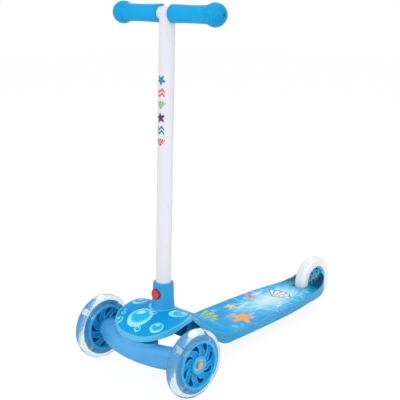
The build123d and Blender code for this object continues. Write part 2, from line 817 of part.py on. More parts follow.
# ---- wheels, each made round the X axis at the origin and then moved to its axle ----
def polar(radius, angle):
    """A point in a plane across the axle."""
    return (radius * cos(radians(angle)), radius * sin(radians(angle)))


def swirl_window(inner, outer, grow):
    """A teardrop window that leans over as it runs from the hub to the rim, made larger by grow."""
    span = outer - inner
    shape = [(0.04, -8), (0.45, -5), (0.82, 4), (1.0, 15), (0.86, 26), (0.55, 16), (0.22, 1)]
    points = [Vector(*polar(inner + share * span, angle)) for share, angle in shape]
    grown = []
    for before, point, after in zip(points[-1:] + points[:-1], points, points[1:] + points[:1]):
        along = (after - before).normalized()
        grown.append(point + Vector(along.Y, -along.X) * grow)
    with BuildSketch() as window:
        with BuildLine():
            Spline(*grown, periodic=True)
        make_face()
    return window.sketch


def wheel_core(face_radius, width, flange_radius, flange_width, web_recess, windows, notches):
    """The coloured core of a wheel: hub, web with swirling windows, rim and the flange in the tyre."""
    half = width / 2
    hub_radius = bearing_outer_radius + hub_wall
    rim_radius = face_radius - rim_wall
    web_half = half - web_recess
    flange_half = flange_width / 2
    outline = [
        (half, 0), (half, hub_radius), (web_half, hub_radius), (web_half, rim_radius),
        (half, rim_radius), (half, face_radius), (flange_half, face_radius), (flange_half, flange_radius),
    ]
    window = swirl_window(hub_radius + lip_width, rim_radius - lip_width / 2, 0)
    lip = swirl_window(hub_radius + lip_width, rim_radius - lip_width / 2, lip_width)
    with BuildPart() as core:
        with BuildSketch(Plane.XY):
            with BuildLine():
                Polyline(*outline, (0, flange_radius))
                mirror(about=Plane.YZ)
                Line((half, 0), (-half, 0))
            make_face()
        revolve(axis=Axis.X)
        for end in (-1, 1):
            with BuildSketch(Plane.YZ.offset(end * web_half)):
                with PolarLocations(0, windows):
                    add(lip)
            extrude(amount=end * lip_height)
            with BuildSketch(Plane.YZ.offset(end * (web_half + lip_height))):
                with PolarLocations(0, windows):
                    add(window)
            extrude(amount=-end * (web_half + lip_height - web_skin), mode=Mode.SUBTRACT)
        for end in (-1, 1):
            with BuildSketch(Plane.YZ.offset(end * half)):
                Circle(bearing_outer_radius)
            extrude(amount=-end * (bearing_width + bearing_recess), mode=Mode.SUBTRACT)
        with BuildSketch(Plane.YZ):
            Circle(bearing_outer_radius - bearing_bore_step)
        extrude(amount=half, both=True, mode=Mode.SUBTRACT)
        if notches:
            with BuildSketch(Plane.YZ):
                middle = (face_radius + flange_radius) / 2 + notch_gap
                with PolarLocations(middle, notches, start_angle=45):
                    Rectangle(flange_radius - face_radius + 2 * notch_gap, light_width + 2 * notch_gap)
            extrude(amount=flange_half, both=True, mode=Mode.SUBTRACT)
    return core.part


def wheel_tyre(face_radius, width, flange_radius, flange_width, tread_radius, shoulder):
    """A solid tyre moulded round the core's flange."""
    half = width / 2
    bore = face_radius + seat_gap
    groove_half = flange_width / 2 + seat_gap
    groove = flange_radius + seat_gap
    with BuildPart() as tyre:
        with BuildSketch(Plane.XY):
            with BuildLine():
                bottom = Polyline((0, groove), (groove_half, groove), (groove_half, bore), (half, bore))
                side = Line(bottom @ 1, (half, tread_radius - shoulder))
                slant = shoulder * (1 - sqrt(0.5))
                corner = ThreePointArc(
                    side @ 1, (half - slant, tread_radius - slant), (half - shoulder, tread_radius)
                )
                Line(corner @ 1, (0, tread_radius))
                mirror(about=Plane.YZ)
            make_face()
        revolve(axis=Axis.X)
    return tyre.part


def wheel_lights(face_radius, count):
    """Small light modules in the notches of the core's flange."""
    middle = face_radius + seat_gap + light_height / 2
    with BuildPart() as lights:
        with BuildSketch(Plane.YZ):
            with PolarLocations(middle, count, start_angle=45):
                Rectangle(light_height, light_width)
        extrude(amount=light_depth / 2, both=True)
    return lights.part


def wheel_bearings(width):
    """The two ball bearings of a wheel, with shallow shield grooves."""
    with BuildPart() as bearings:
        for end in (-1, 1):
            face = end * (width / 2 - bearing_recess)
            with BuildSketch(Plane.YZ.offset(face)):
                Circle(bearing_outer_radius)
                Circle(axle_radius + running_gap, mode=Mode.SUBTRACT)
            extrude(amount=-end * bearing_width)
            with BuildSketch(Plane.YZ.offset(face)):
                Circle(bearing_outer_radius - shield_inset)
                Circle(axle_radius + shield_bore_wall, mode=Mode.SUBTRACT)
            extrude(amount=-end * shield_depth, mode=Mode.SUBTRACT)
    return bearings.part


front_spacer_half = front_core_width / 2 - bearing_recess - bearing_width - seat_gap
rear_spacer_half = rear_core_width / 2 - bearing_recess - bearing_width - seat_gap
front_core = wheel_core(
    hub_face_radius, front_core_width, front_flange_radius, front_flange_width, front_web_recess,
    spoke_count, light_count,
)
front_tyre = wheel_tyre(
    hub_face_radius, front_tyre_width, front_flange_radius, front_flange_width, front_wheel_radius,
    front_tyre_shoulder,
)
front_lights = wheel_lights(hub_face_radius, light_count)
front_bearings = wheel_bearings(front_core_width)
front_spacer = ring(axle_radius + seat_gap, sleeve_radius, -front_spacer_half, front_spacer_half, 0, 0)
wheel_places = {
    "left": Location((wheel_x, front_axle_y, front_axle_z)),
    "right": Location((-wheel_x, front_axle_y, front_axle_z), (0, 0, 180)),
}
for name, place in wheel_places.items():
    save(front_core.moved(place), name + "_wheel_core")
    save(front_tyre.moved(place), name + "_tyre")
    save(front_lights.moved(place), name + "_wheel_lights")
    save(front_bearings.moved(place), name + "_wheel_bearings")
    save(front_spacer.moved(place), name + "_bearing_spacer")

rear_place = Location((0, rear_axle_y, rear_axle_z))
rear_core = wheel_core(
    rear_hub_radius, rear_core_width, rear_flange_radius, rear_flange_width, rear_web_recess,
    rear_window_count, 0,
)
rear_tyre = wheel_tyre(
    rear_hub_radius, rear_tyre_width, rear_flange_radius, rear_flange_width, rear_wheel_radius,
    rear_tyre_shoulder,
)
rear_spacer = ring(axle_radius + seat_gap, sleeve_radius, -rear_spacer_half, rear_spacer_half, 0, 0)
save(rear_core.moved(rear_place), "rear_wheel_core")
save(rear_tyre.moved(rear_place), "rear_tyre")
save(wheel_bearings(rear_core_width).moved(rear_place), "rear_wheel_bearings")
save(rear_spacer.moved(rear_place), "rear_bearing_spacer")

# ---- rear axle ----
sleeve_inner_x = rear_core_width / 2 - bearing_recess + seat_gap
sleeve_outer_x = slot_half_width - seat_gap
rear_sleeve = ring(
    axle_radius + seat_gap, sleeve_radius, sleeve_inner_x, sleeve_outer_x, rear_axle_y, rear_axle_z
)
save(both_sides(rear_sleeve), "rear_axle_sleeves")

with BuildPart() as rear_axle_bolt:
    thread_end = -rear_seat_x - nut_height - thread_past_nut
    add(axle_cylinder(axle_radius, thread_end, rear_seat_x, rear_axle_y, rear_axle_z))
    with BuildSketch(Plane.YZ.offset(rear_seat_x)):
        with Locations((rear_axle_y, rear_axle_z)):
            Circle(bolt_head_radius)
            RegularPolygon(hex_socket_radius, 6, mode=Mode.SUBTRACT)
    extrude(amount=bolt_head_height)
save(rear_axle_bolt.part, "rear_axle_bolt")

with BuildPart() as rear_axle_nut:
    with BuildSketch(Plane.YZ.offset(-rear_seat_x - nut_height)):
        with Locations((rear_axle_y, rear_axle_z)):
            RegularPolygon(nut_radius, 6)
            Circle(axle_radius, mode=Mode.SUBTRACT)
    extrude(amount=nut_height)
save(rear_axle_nut.part, "rear_axle_nut")
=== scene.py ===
import json
from math import cos, pi, radians, sin

import bpy
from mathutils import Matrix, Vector


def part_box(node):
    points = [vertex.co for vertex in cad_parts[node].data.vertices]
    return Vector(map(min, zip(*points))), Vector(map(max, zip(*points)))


# Metres, in the scooter's own frame: forward is -Y, its left is +X and the ground is Z = 0.
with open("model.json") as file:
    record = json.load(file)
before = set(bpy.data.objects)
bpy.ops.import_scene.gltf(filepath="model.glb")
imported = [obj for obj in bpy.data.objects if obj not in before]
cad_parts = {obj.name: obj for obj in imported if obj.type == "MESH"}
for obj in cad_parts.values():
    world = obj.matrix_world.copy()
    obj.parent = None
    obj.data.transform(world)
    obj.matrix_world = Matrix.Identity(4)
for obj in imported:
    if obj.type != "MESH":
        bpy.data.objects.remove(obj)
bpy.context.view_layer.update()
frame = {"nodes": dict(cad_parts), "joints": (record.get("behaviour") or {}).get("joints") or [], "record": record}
nodes = frame["nodes"]


# ---- places, from the frame and from given numbers ----
def node_box(name):
    low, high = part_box(name)
    return Vector(low), Vector(high)


def middle(name):
    low, high = node_box(name)
    return (low + high) / 2


joints = {joint["name"]: joint for joint in frame["joints"]}
front_axle = Vector(joints["left_wheel_spin"]["pos_m"])
rear_axle = Vector(joints["rear_wheel_spin"]["pos_m"])
stem_axis = Vector(joints["handlebar_lift"]["axis"]).normalized()
wheel_x = abs(front_axle.x)

stem_low, stem_high = node_box("stem_tube")
stem_radius = (stem_high.x - stem_low.x) / 2
clamp = next(mount for mount in frame["record"]["mounts"] if mount["name"] == "stem_clamp_zone")
stem_point = Vector(clamp["pos_m"])
bar_middle = middle("crossbar")
ball_end_length = 0.036
ball_start = node_box("grip_left")[1].x - ball_end_length

# Where the stem's print is: on the half of the tube in front of stem_front_limit, from motif_top down.
stem_front_limit = stem_point.y + 0.012
motif_top = 0.519
motif_pitch = 0.0210

# How far a wheel's sunken web and its raised lips lie from its middle plane, and the rim's inside.
front_web, front_lip, front_rim_inside = 0.0084, 0.0099, 0.0384
rear_web, rear_lip, rear_rim_inside = 0.0064, 0.0085, 0.0270

# The deck turns from the head's blue to the foot board's between these distances behind the front axle.
head_color_end, board_color_start = 0.03, 0.13

# How far the rounded normal leans from the plain one, as a cosine, where an edge starts and is full.
edge_start, edge_full = 0.985, 0.80
plastic_bevel = 0.0012


# ---- shader helpers ----
def srgb(red, green, blue):
    """A colour given as it shows on screen, 0 to 255, as the shader wants it."""
    def linear(value):
        value /= 255
        return value / 12.92 if value <= 0.04045 else ((value + 0.055) / 1.055) ** 2.4
    return (linear(red), linear(green), linear(blue), 1.0)


class Shader:
    """One procedural material, built node by node around a Principled shader."""

    def __init__(self, name, color=None, roughness=0.4, **settings):
        self.material = bpy.data.materials.new(name)
        self.material.use_nodes = True
        self.tree = self.material.node_tree
        self.bsdf = self.tree.nodes["Principled BSDF"]
        self.position = self.add("ShaderNodeTexCoord").outputs["Object"]
        if color is not None:
            self.bsdf.inputs["Base Color"].default_value = color
        self.bsdf.inputs["Roughness"].default_value = roughness
        for socket, value in settings.items():
            self.bsdf.inputs[socket.replace("_", " ")].default_value = value

    def add(self, kind, inputs=None, **properties):
        node = self.tree.nodes.new(kind)
        for key, value in properties.items():
            setattr(node, key, value)
        for key, value in (inputs or {}).items():
            self.put(node.inputs[key], value)
        return node

    def put(self, socket, value):
        if isinstance(value, bpy.types.NodeSocket):
            self.tree.links.new(value, socket)
        else:
            socket.default_value = value

    def math(self, operation, a, b=0.0, c=0.0):
        return self.add("ShaderNodeMath", {0: a, 1: b, 2: c}, operation=operation).outputs[0]

    def times(self, a, b):
        return self.math("MULTIPLY", a, b)

    def plus(self, a, b):
        return self.math("ADD", a, b)

    def minus(self, a, b):
        return self.math("SUBTRACT", a, b)

    def absolute(self, value):
        return self.math("ABSOLUTE", value)

    def length(self, u, v):
        return self.math("SQRT", self.plus(self.times(u, u), self.times(v, v)))

    def step(self, value, low, high):
        """0 below low, 1 above high, smooth between."""
        node = self.add("ShaderNodeMapRange", {0: value, 1: low, 2: high, 3: 0.0, 4: 1.0})
        node.interpolation_type = "SMOOTHSTEP"
        return node.outputs[0]

    def band(self, value, centre, half, soft):
        """1 within half of centre, falling to 0 over soft."""
        away = self.absolute(self.minus(value, centre))
        return self.step(away, half + soft, half)

    def axes(self, vector=None):
        node = self.add("ShaderNodeSeparateXYZ", {0: vector or self.position})
        return node.outputs[0], node.outputs[1], node.outputs[2]

    def mix(self, factor, a, b):
        """Colour a where factor is 0, colour b where it is 1."""
        factor_in, a_in, b_in, color_out = 0, 6, 7, 2
        node = self.add("ShaderNodeMix", {factor_in: factor}, data_type="RGBA")
        self.put(node.inputs[a_in], a)
        self.put(node.inputs[b_in], b)
        return node.outputs[color_out]

    def noise(self, scale, detail=3.0, roughness=0.5, vector=None):
        node = self.add(
            "ShaderNodeTexNoise",
            {"Vector": vector or self.position, "Scale": scale, "Detail": detail, "Roughness": roughness},
        )
        return node.outputs[0]

    def vary(self, low, high, value):
        """A noise's usual range, 0.3 to 0.7, spread over low to high."""
        return self.add("ShaderNodeMapRange", {0: value, 1: 0.3, 2: 0.7, 3: low, 4: high}).outputs[0]

    def bump(self, height, distance, strength=1.0, normal=None):
        inputs = {"Height": height, "Distance": distance, "Strength": strength}
        if normal is not None:
            inputs["Normal"] = normal
        return self.add("ShaderNodeBump", inputs).outputs[0]

    def bevel(self, radius):
        return self.add("ShaderNodeBevel", {"Radius": radius}, samples=4).outputs[0]

    def edges(self, radius):
        """1 along the piece's edges, 0 on its open faces."""
        rounded = self.bevel(radius)
        plain = self.add("ShaderNodeNewGeometry").outputs["Normal"]
        lean = self.add("ShaderNodeVectorMath", {0: rounded, 1: plain}, operation="DOT_PRODUCT")
        return self.step(lean.outputs["Value"], edge_start, edge_full)

    def link(self, socket, value):
        self.put(self.bsdf.inputs[socket], value)


def oval(shader, x, y, centre, radii, turn=0.0):
    """How far a point is from an oval's centre: 1 on its edge."""
    dx = shader.minus(x, centre[0])
    dy = shader.minus(y, centre[1])
    c, s = cos(radians(turn)), sin(radians(turn))
    u = shader.plus(shader.times(dx, c / radii[0]), shader.times(dy, s / radii[0]))
    v = shader.minus(shader.times(dy, c / radii[1]), shader.times(dx, s / radii[1]))
    return shader.length(u, v)


def polar(shader, x, y, centre, turn=0.0):
    """Distance from a centre, and the angle round it, in radians."""
    u = shader.minus(x, centre[0])
    v = shader.minus(y, centre[1])
    angle = shader.math("ARCTAN2", v, u)
    if turn:
        angle = shader.plus(angle, radians(turn))
    return shader.length(u, v), angle


def wave(shader, angle, count, low, high):
    """A ripple round a centre, between low and high."""
    ripple = shader.math("COSINE", shader.times(angle, count))
    return shader.math("MULTIPLY_ADD", ripple, (high - low) / 2, (high + low) / 2)


def star(shader, x, y, centre, radius, points, waist, turn=0.0, soft=0.0006):
    """1 inside a soft-cornered star."""
    away, angle = polar(shader, x, y, centre, turn)
    edge = wave(shader, angle, points, radius * waist, radius)
    return shader.step(shader.minus(away, edge), soft, -soft)


def bubble(shader, color, x, y, centre, radii, turn=0.0, clear=0.55):
    """An air bubble drawn over a colour: bright rim, light inside, a crescent and a glint."""
    c, s = cos(radians(turn)), sin(radians(turn))

    def shifted(u, v):
        across, along = u * radii[0], v * radii[1]
        return centre[0] + c * across - s * along, centre[1] + s * across + c * along

    away = oval(shader, x, y, centre, radii, turn)
    inside = shader.step(away, 1.0, 0.88)
    color = shader.mix(shader.times(inside, clear), color, srgb(28, 205, 250))
    hollow = oval(shader, x, y, shifted(0.08, 0.22), (radii[0] * 0.80, radii[1] * 0.78), turn)
    crescent = shader.times(inside, shader.step(hollow, 0.86, 1.25))
    color = shader.mix(shader.times(crescent, 0.85), color, srgb(172, 246, 255))
    spot = oval(shader, x, y, shifted(-0.05, 0.56), (radii[0] * 0.42, radii[1] * 0.26), turn)
    glint = shader.step(spot, 1.15, 0.55)
    color = shader.mix(shader.times(glint, 0.8), color, srgb(190, 250, 255))
    return shader.mix(shader.band(away, 0.95, 0.035, 0.07), color, srgb(150, 243, 255))


# ---- materials ----
def moulded_plastic(name, color, deep, edge, roughness=0.34, painted_edge_share=0.5, detail=None):
    """Moulded plastic: faint cloudiness, fine grain, and the edge colour laid along its edges as painted light, a
    painted highlight where it is lighter and painted shade where it is darker. detail is one piece's own.
    """
    shader = Shader(
        name, roughness=roughness, Specular_IOR_Level=0.3, Coat_Weight=0.1, Coat_Roughness=0.2
    )
    cloud = shader.noise(18.0, 4.0)
    paint = shader.mix(shader.step(cloud, 0.3, 0.75), color, deep)
    if detail is not None:
        paint = detail(shader, paint)
    # Painted light along the edges: a painted highlight in the lighter edge colours, painted shade in the red's
    # darker one.
    paint = shader.mix(shader.times(shader.edges(plastic_bevel), painted_edge_share), paint, edge)
    shader.link("Base Color", paint)
    shader.link("Roughness", shader.vary(roughness - 0.05, roughness + 0.08, shader.noise(60.0, 5.0)))
    rounded = shader.bevel(plastic_bevel)
    shader.link("Normal", shader.bump(shader.noise(2600.0, 2.0), 0.00004, 0.5, rounded))
    return shader.material


def painted_recess_shade(centre_x, axle, web, lip, rim_inside, web_shade_color, pocket_shade_color):
    """Painted shade in a wheel's recesses: its sunken web darker, and the floors of its windows darker still."""
    pocket_start, pocket_full = web * 0.8, web * 0.25
    rim_blend = 0.001

    def detail(shader, paint):
        x, y, z = shader.axes()
        away = shader.absolute(shader.minus(shader.absolute(x), centre_x))
        radius, angle = polar(shader, y, z, (axle.y, axle.z))
        # Painted shade: the sunken web darker, then deeper painted shade on the window floors inside the rim.
        paint = shader.mix(shader.step(away, lip, web), paint, web_shade_color)
        deep = shader.step(away, pocket_start, pocket_full)
        inside_rim = shader.step(radius, rim_inside + rim_blend, rim_inside)
        return shader.mix(shader.times(deep, inside_rim), paint, pocket_shade_color)

    return detail


def lighter_head(shader, paint):
    """The deck's head is a lighter blue than its foot board."""
    x, y, z = shader.axes()
    head = shader.step(y, front_axle.y + board_color_start, front_axle.y + head_color_end)
    return shader.mix(head, paint, srgb(86, 198, 248))


def painted_button_rim_shade(shader, paint):
    """Painted shade: the release button darkened towards its rim."""
    low, high = node_box("release_button")
    centre = (low + high) / 2
    radius = (high.z - low.z) / 2
    x, y, z = shader.axes()
    away = oval(shader, x, z, (centre.x, centre.z), (radius, radius))
    return shader.mix(shader.step(away, 0.72, 1.0), paint, srgb(128, 34, 58))


# Each plastic's third colour is painted on its edges: a painted highlight where lighter, painted shade on the red.
azure = moulded_plastic("azure_plastic", srgb(86, 184, 242), srgb(72, 168, 232), srgb(140, 222, 255))
deck_azure = moulded_plastic(
    "deck_azure", srgb(62, 172, 224), srgb(50, 158, 214), srgb(160, 230, 252), 0.34, 0.8, lighter_head
)
socket_azure = moulded_plastic(
    "socket_azure", srgb(44, 168, 226), srgb(34, 154, 214), srgb(100, 200, 238)
)
# Painted shade: the deck's ribs get a darker copy of the azure plastic, for the shade they sit in under the deck.
deep_blue = moulded_plastic(
    "deep_blue_plastic", srgb(14, 136, 190), srgb(10, 118, 172), srgb(50, 160, 208), 0.5, 0.3
)
front_wheel_blue = moulded_plastic(
    "front_wheel_blue", srgb(10, 198, 255), srgb(0, 184, 246), srgb(140, 236, 255), 0.3, 0.8,
    painted_recess_shade(
        wheel_x, front_axle, front_web, front_lip, front_rim_inside, srgb(0, 158, 228), srgb(0, 88, 160)
    ),
)
rear_wheel_blue = moulded_plastic(
    "rear_wheel_blue", srgb(108, 218, 232), srgb(88, 202, 222), srgb(150, 228, 240), 0.35, 0.5,
    painted_recess_shade(
        0.0, rear_axle, rear_web, rear_lip, rear_rim_inside, srgb(48, 176, 214), srgb(0, 92, 150)
    ),
)
# The red's dark edge colour and its rim darkening are painted shade.
red = moulded_plastic(
    "red_plastic", srgb(232, 66, 76), srgb(218, 50, 64), srgb(128, 34, 58), 0.3, 0.7, painted_button_rim_shade
)
white_bush = moulded_plastic(
    "white_bush", srgb(232, 232, 226), srgb(220, 220, 214), srgb(244, 244, 240), 0.45
)


def stem_motif(shader, color):
    """A printed column on the front of the stem: star, two waves, fan, and again, each in its own colour."""
    x, y, z = shader.axes()
    rise = shader.minus(z, stem_point.z)
    axis_y = shader.math("MULTIPLY_ADD", rise, stem_axis.y / stem_axis.z, stem_point.y)
    round_it = shader.math("ARCTAN2", x, shader.minus(axis_y, y))
    along = shader.times(shader.minus(round_it, radians(4)), stem_radius)
    front = shader.step(y, stem_front_limit, stem_front_limit - 0.001)
    colors = [
        srgb(20, 138, 184), srgb(232, 92, 66), srgb(138, 176, 88),
        srgb(92, 44, 104), srgb(24, 132, 164), srgb(206, 62, 66),
    ]
    for index, ink in enumerate(colors):
        centre = motif_top - index * motif_pitch
        if index % 3 == 0:
            mask = star(shader, along, z, (0, centre), 0.0088, 5, 0.52, 90 + 9 * index)
        elif index % 3 == 1:
            crest = shader.math("SINE", shader.times(along, 620.0))
            middle_z = shader.math("MULTIPLY_ADD", crest, 0.0022, centre)
            upper = shader.band(z, shader.plus(middle_z, 0.0034), 0.0018, 0.0006)
            lower = shader.band(z, shader.plus(middle_z, -0.0034), 0.0018, 0.0006)
            width = shader.step(shader.absolute(along), 0.0078, 0.0070)
            mask = shader.times(shader.math("MAXIMUM", upper, lower), width)
        else:
            away, angle = polar(shader, along, z, (0, centre - 0.0065), -90)
            fan = shader.times(shader.step(away, 0.0142, 0.0134), shader.band(angle, 0.0, 0.72, 0.08))
            ribs = shader.step(wave(shader, angle, 17, 0, 1), 0.10, 0.30)
            mask = shader.times(fan, shader.math("MAXIMUM", ribs, shader.step(away, 0.0045, 0.0035)))
        color = shader.mix(shader.times(mask, front), color, ink)
    return color


def white_paint_material():
    """Glossy white paint with the stem's print. The crossbar has it too, out of the print's reach."""
    shader = Shader("white_paint", roughness=0.2, Coat_Weight=0.5, Coat_Roughness=0.06)
    paint = shader.mix(shader.noise(9.0), srgb(241, 241, 248), srgb(234, 233, 243))
    shader.link("Base Color", stem_motif(shader, paint))
    shader.link("Roughness", shader.vary(0.17, 0.26, shader.noise(80.0, 4.0)))
    shader.link("Normal", shader.bump(shader.noise(300.0, 2.0), 0.00003, 0.4, shader.bevel(0.0005)))
    return shader.material


def grip_material():
    """Soft rubber with a fine grain, and rings of dots on the ball ends, with painted shade in the dots' hollows
    and along the edges.
    """
    shader = Shader("grip_rubber", roughness=0.45, Specular_IOR_Level=0.22)
    x, y, z = shader.axes()
    away, angle = polar(shader, y, z, (bar_middle.y, bar_middle.z))
    ripple = wave(shader, angle, 11, -0.9, 0.9)
    rings = shader.math("SINE", shader.plus(shader.times(away, 2900.0), ripple))
    dots = shader.times(rings, wave(shader, angle, 36, 0.45, 1.0))
    on_ball = shader.step(shader.absolute(x), ball_start, ball_start + 0.006)
    pattern = shader.times(dots, on_ball)
    color = shader.mix(shader.noise(30.0), srgb(0, 178, 240), srgb(0, 164, 230))
    # Painted shade in the hollows of the dot rings.
    hollow = shader.times(shader.step(pattern, 0.1, -0.7), 0.35)
    color = shader.mix(hollow, color, srgb(0, 140, 204))
    # Painted shade along the grip's edges and creases.
    edge = shader.times(shader.edges(0.001), 0.3)
    shader.link("Base Color", shader.mix(edge, color, srgb(0, 140, 200)))
    shader.link("Roughness", shader.vary(0.42, 0.58, shader.noise(120.0, 4.0)))
    grain = shader.bump(shader.noise(1800.0, 2.0), 0.0001, 0.6, shader.bevel(0.0006))
    shader.link("Normal", shader.bump(pattern, 0.0006, 0.9, grain))
    return shader.material


def steel_material(name, color, roughness, metallic=1.0):
    """Brushed metal, or with less metallic a bright plastic, with darker specks."""
    shader = Shader(name, color, roughness, Metallic=metallic)
    darker = tuple(0.8 * value for value in color[:3]) + (1.0,)
    shader.link("Base Color", shader.mix(shader.noise(160.0, 4.0), color, darker))
    shader.link("Roughness", shader.vary(roughness - 0.08, roughness + 0.12, shader.noise(240.0, 4.0)))
    shader.link("Normal", shader.bump(shader.noise(900.0, 3.0), 0.00004, 0.5, shader.bevel(0.0004)))
    return shader.material


def clear_tyre_material():
    """Clear cast polyurethane: slightly milky, with faint flow marks and mould lines round the tread."""
    shader = Shader(
        "clear_tyre", roughness=0.06, Transmission_Weight=0.95, IOR=1.28,
        Coat_Weight=0.25, Coat_Roughness=0.12,
    )
    shader.link("Base Color", shader.mix(shader.noise(26.0, 3.0), srgb(236, 250, 252), srgb(214, 238, 246)))
    shader.link("Roughness", shader.vary(0.03, 0.10, shader.noise(60.0, 4.0)))
    x, y, z = shader.axes()
    lines = shader.math("COSINE", shader.times(shader.absolute(x), 1900.0))
    flow = shader.bump(shader.noise(120.0, 2.0), 0.0002, 0.35)
    shader.link("Normal", shader.bump(lines, 0.00006, 0.5, flow))
    return shader.material


def milky_tyre_material():
    """White rubber with a mould seam, and faint scuffs on the tread."""
    shader = Shader("white_tyre", roughness=0.4)
    x, y, z = shader.axes()
    away, angle = polar(shader, y, z, (rear_axle.y, rear_axle.z))
    seam = shader.band(x, 0.0, 0.0003, 0.0003)
    color = shader.mix(shader.noise(20.0), srgb(255, 255, 255), srgb(250, 251, 254))
    scuff = shader.times(shader.step(shader.noise(70.0, 6.0, 0.7), 0.56, 0.75), 0.25)
    tyre_radius = rear_axle.z
    on_tread = shader.step(away, tyre_radius - 0.004, tyre_radius - 0.001)
    shader.link("Base Color", shader.mix(shader.times(scuff, on_tread), color, srgb(214, 216, 222)))
    shader.link("Roughness", shader.vary(0.35, 0.5, shader.noise(90.0, 4.0)))
    grain = shader.bump(shader.noise(700.0, 3.0), 0.00006, 0.4, shader.bevel(0.0006))
    shader.link("Normal", shader.bump(seam, 0.0002, 0.6, grain))
    return shader.material


def film_surface(name):
    """A printed film's surface, with the place on it: across, and the distance behind the front axle."""
    shader = Shader(name, roughness=0.34, Specular_IOR_Level=0.08)
    shader.link("Roughness", shader.vary(0.28, 0.42, shader.noise(40.0, 4.0)))
    x, y, z = shader.axes()
    distance = shader.minus(y, front_axle.y)
    return shader, x, distance


def nose_film_material():
    """Deep sky-blue print with air bubbles round the foot of the stem."""
    shader, x, d = film_surface("nose_print")
    cloud = shader.noise(22.0, 4.0, 0.6)
    color = shader.mix(shader.step(cloud, 0.3, 0.75), srgb(0, 150, 226), srgb(8, 168, 238))
    ahead = shader.step(d, 0.01, -0.035)
    color = shader.mix(shader.times(ahead, 0.3), color, srgb(34, 178, 232))
    # centre, radii, turn in degrees, and how much of its own colour each bubble has
    bubbles = [
        ((-0.0085, -0.0050), (0.0225, 0.0215), 30, 0.75), ((0.0075, -0.0265), (0.0062, 0.0056), 0, 0.4),
        ((0.0405, -0.0125), (0.0120, 0.0105), 20, 0.55), ((-0.0500, 0.0330), (0.0135, 0.0120), 35, 0.4),
        ((0.0440, 0.0370), (0.0120, 0.0165), -35, 0.5), ((-0.0485, -0.0075), (0.0042, 0.0036), 0, 0.3),
        ((-0.0525, 0.0005), (0.0028, 0.0025), 0, 0.3), ((-0.0300, 0.0560), (0.0060, 0.0055), 0, 0.4),
        ((-0.0440, -0.0245), (0.0085, 0.0075), 40, 0.4), ((0.0200, 0.0640), (0.0050, 0.0045), 0, 0.4),
        ((0.0060, 0.0130), (0.0075, 0.0050), 15, 0.3),
    ]
    for centre, radii, turn, clear in bubbles:
        color = bubble(shader, color, x, d, centre, radii, turn, clear)
    shader.link("Base Color", color)
    shader.link("Normal", shader.bump(shader.noise(900.0, 2.0), 0.00002, 0.4))
    return shader.material


def shell(shader, color, x, d, hinge, reach, turn, ink, dark):
    """A scallop shell: a fan of ribs spreading from its hinge, with a drawn outline."""
    away, angle = polar(shader, x, d, hinge, -turn)
    wrapped = shader.math("WRAP", angle, pi, -pi)
    rim = shader.minus(wave(shader, wrapped, 15, reach * 0.92, reach), away)
    side = shader.times(shader.minus(1.0, shader.absolute(wrapped)), away)
    depth = shader.math("MINIMUM", rim, side)
    outline = shader.step(depth, 0.0024, 0.0012)
    ribs = shader.times(shader.step(wave(shader, wrapped, 15, 0, 1), 0.34, 0.06), 0.75)
    growth = shader.band(shader.math("FRACT", shader.times(away, 4.0 / reach)), 0.5, 0.08, 0.12)
    shade = shader.math("MAXIMUM", outline, shader.math("MAXIMUM", ribs, shader.times(growth, 0.3)))
    return shader.mix(shader.step(depth, -0.0004, 0.0004), color, shader.mix(shade, ink, dark))


def starfish(shader, color, x, d, centre, radius, turn, ink, dark):
    """A five-armed starfish with a darker edge and rows of pale dots."""
    away, angle = polar(shader, x, d, centre, turn)
    edge = wave(shader, angle, 5, radius * 0.42, radius)
    depth = shader.minus(edge, away)
    inside = shader.step(depth, -0.0005, 0.0005)
    rim = shader.step(depth, 0.0030, 0.0008)
    dots = shader.add("ShaderNodeTexVoronoi", {"Vector": shader.position, "Scale": 260.0}).outputs["Distance"]
    paint = shader.mix(shader.times(rim, 0.75), ink, dark)
    paint = shader.mix(shader.times(shader.step(dots, 0.32, 0.2), 0.7), paint, srgb(255, 232, 190))
    return shader.mix(inside, color, paint)


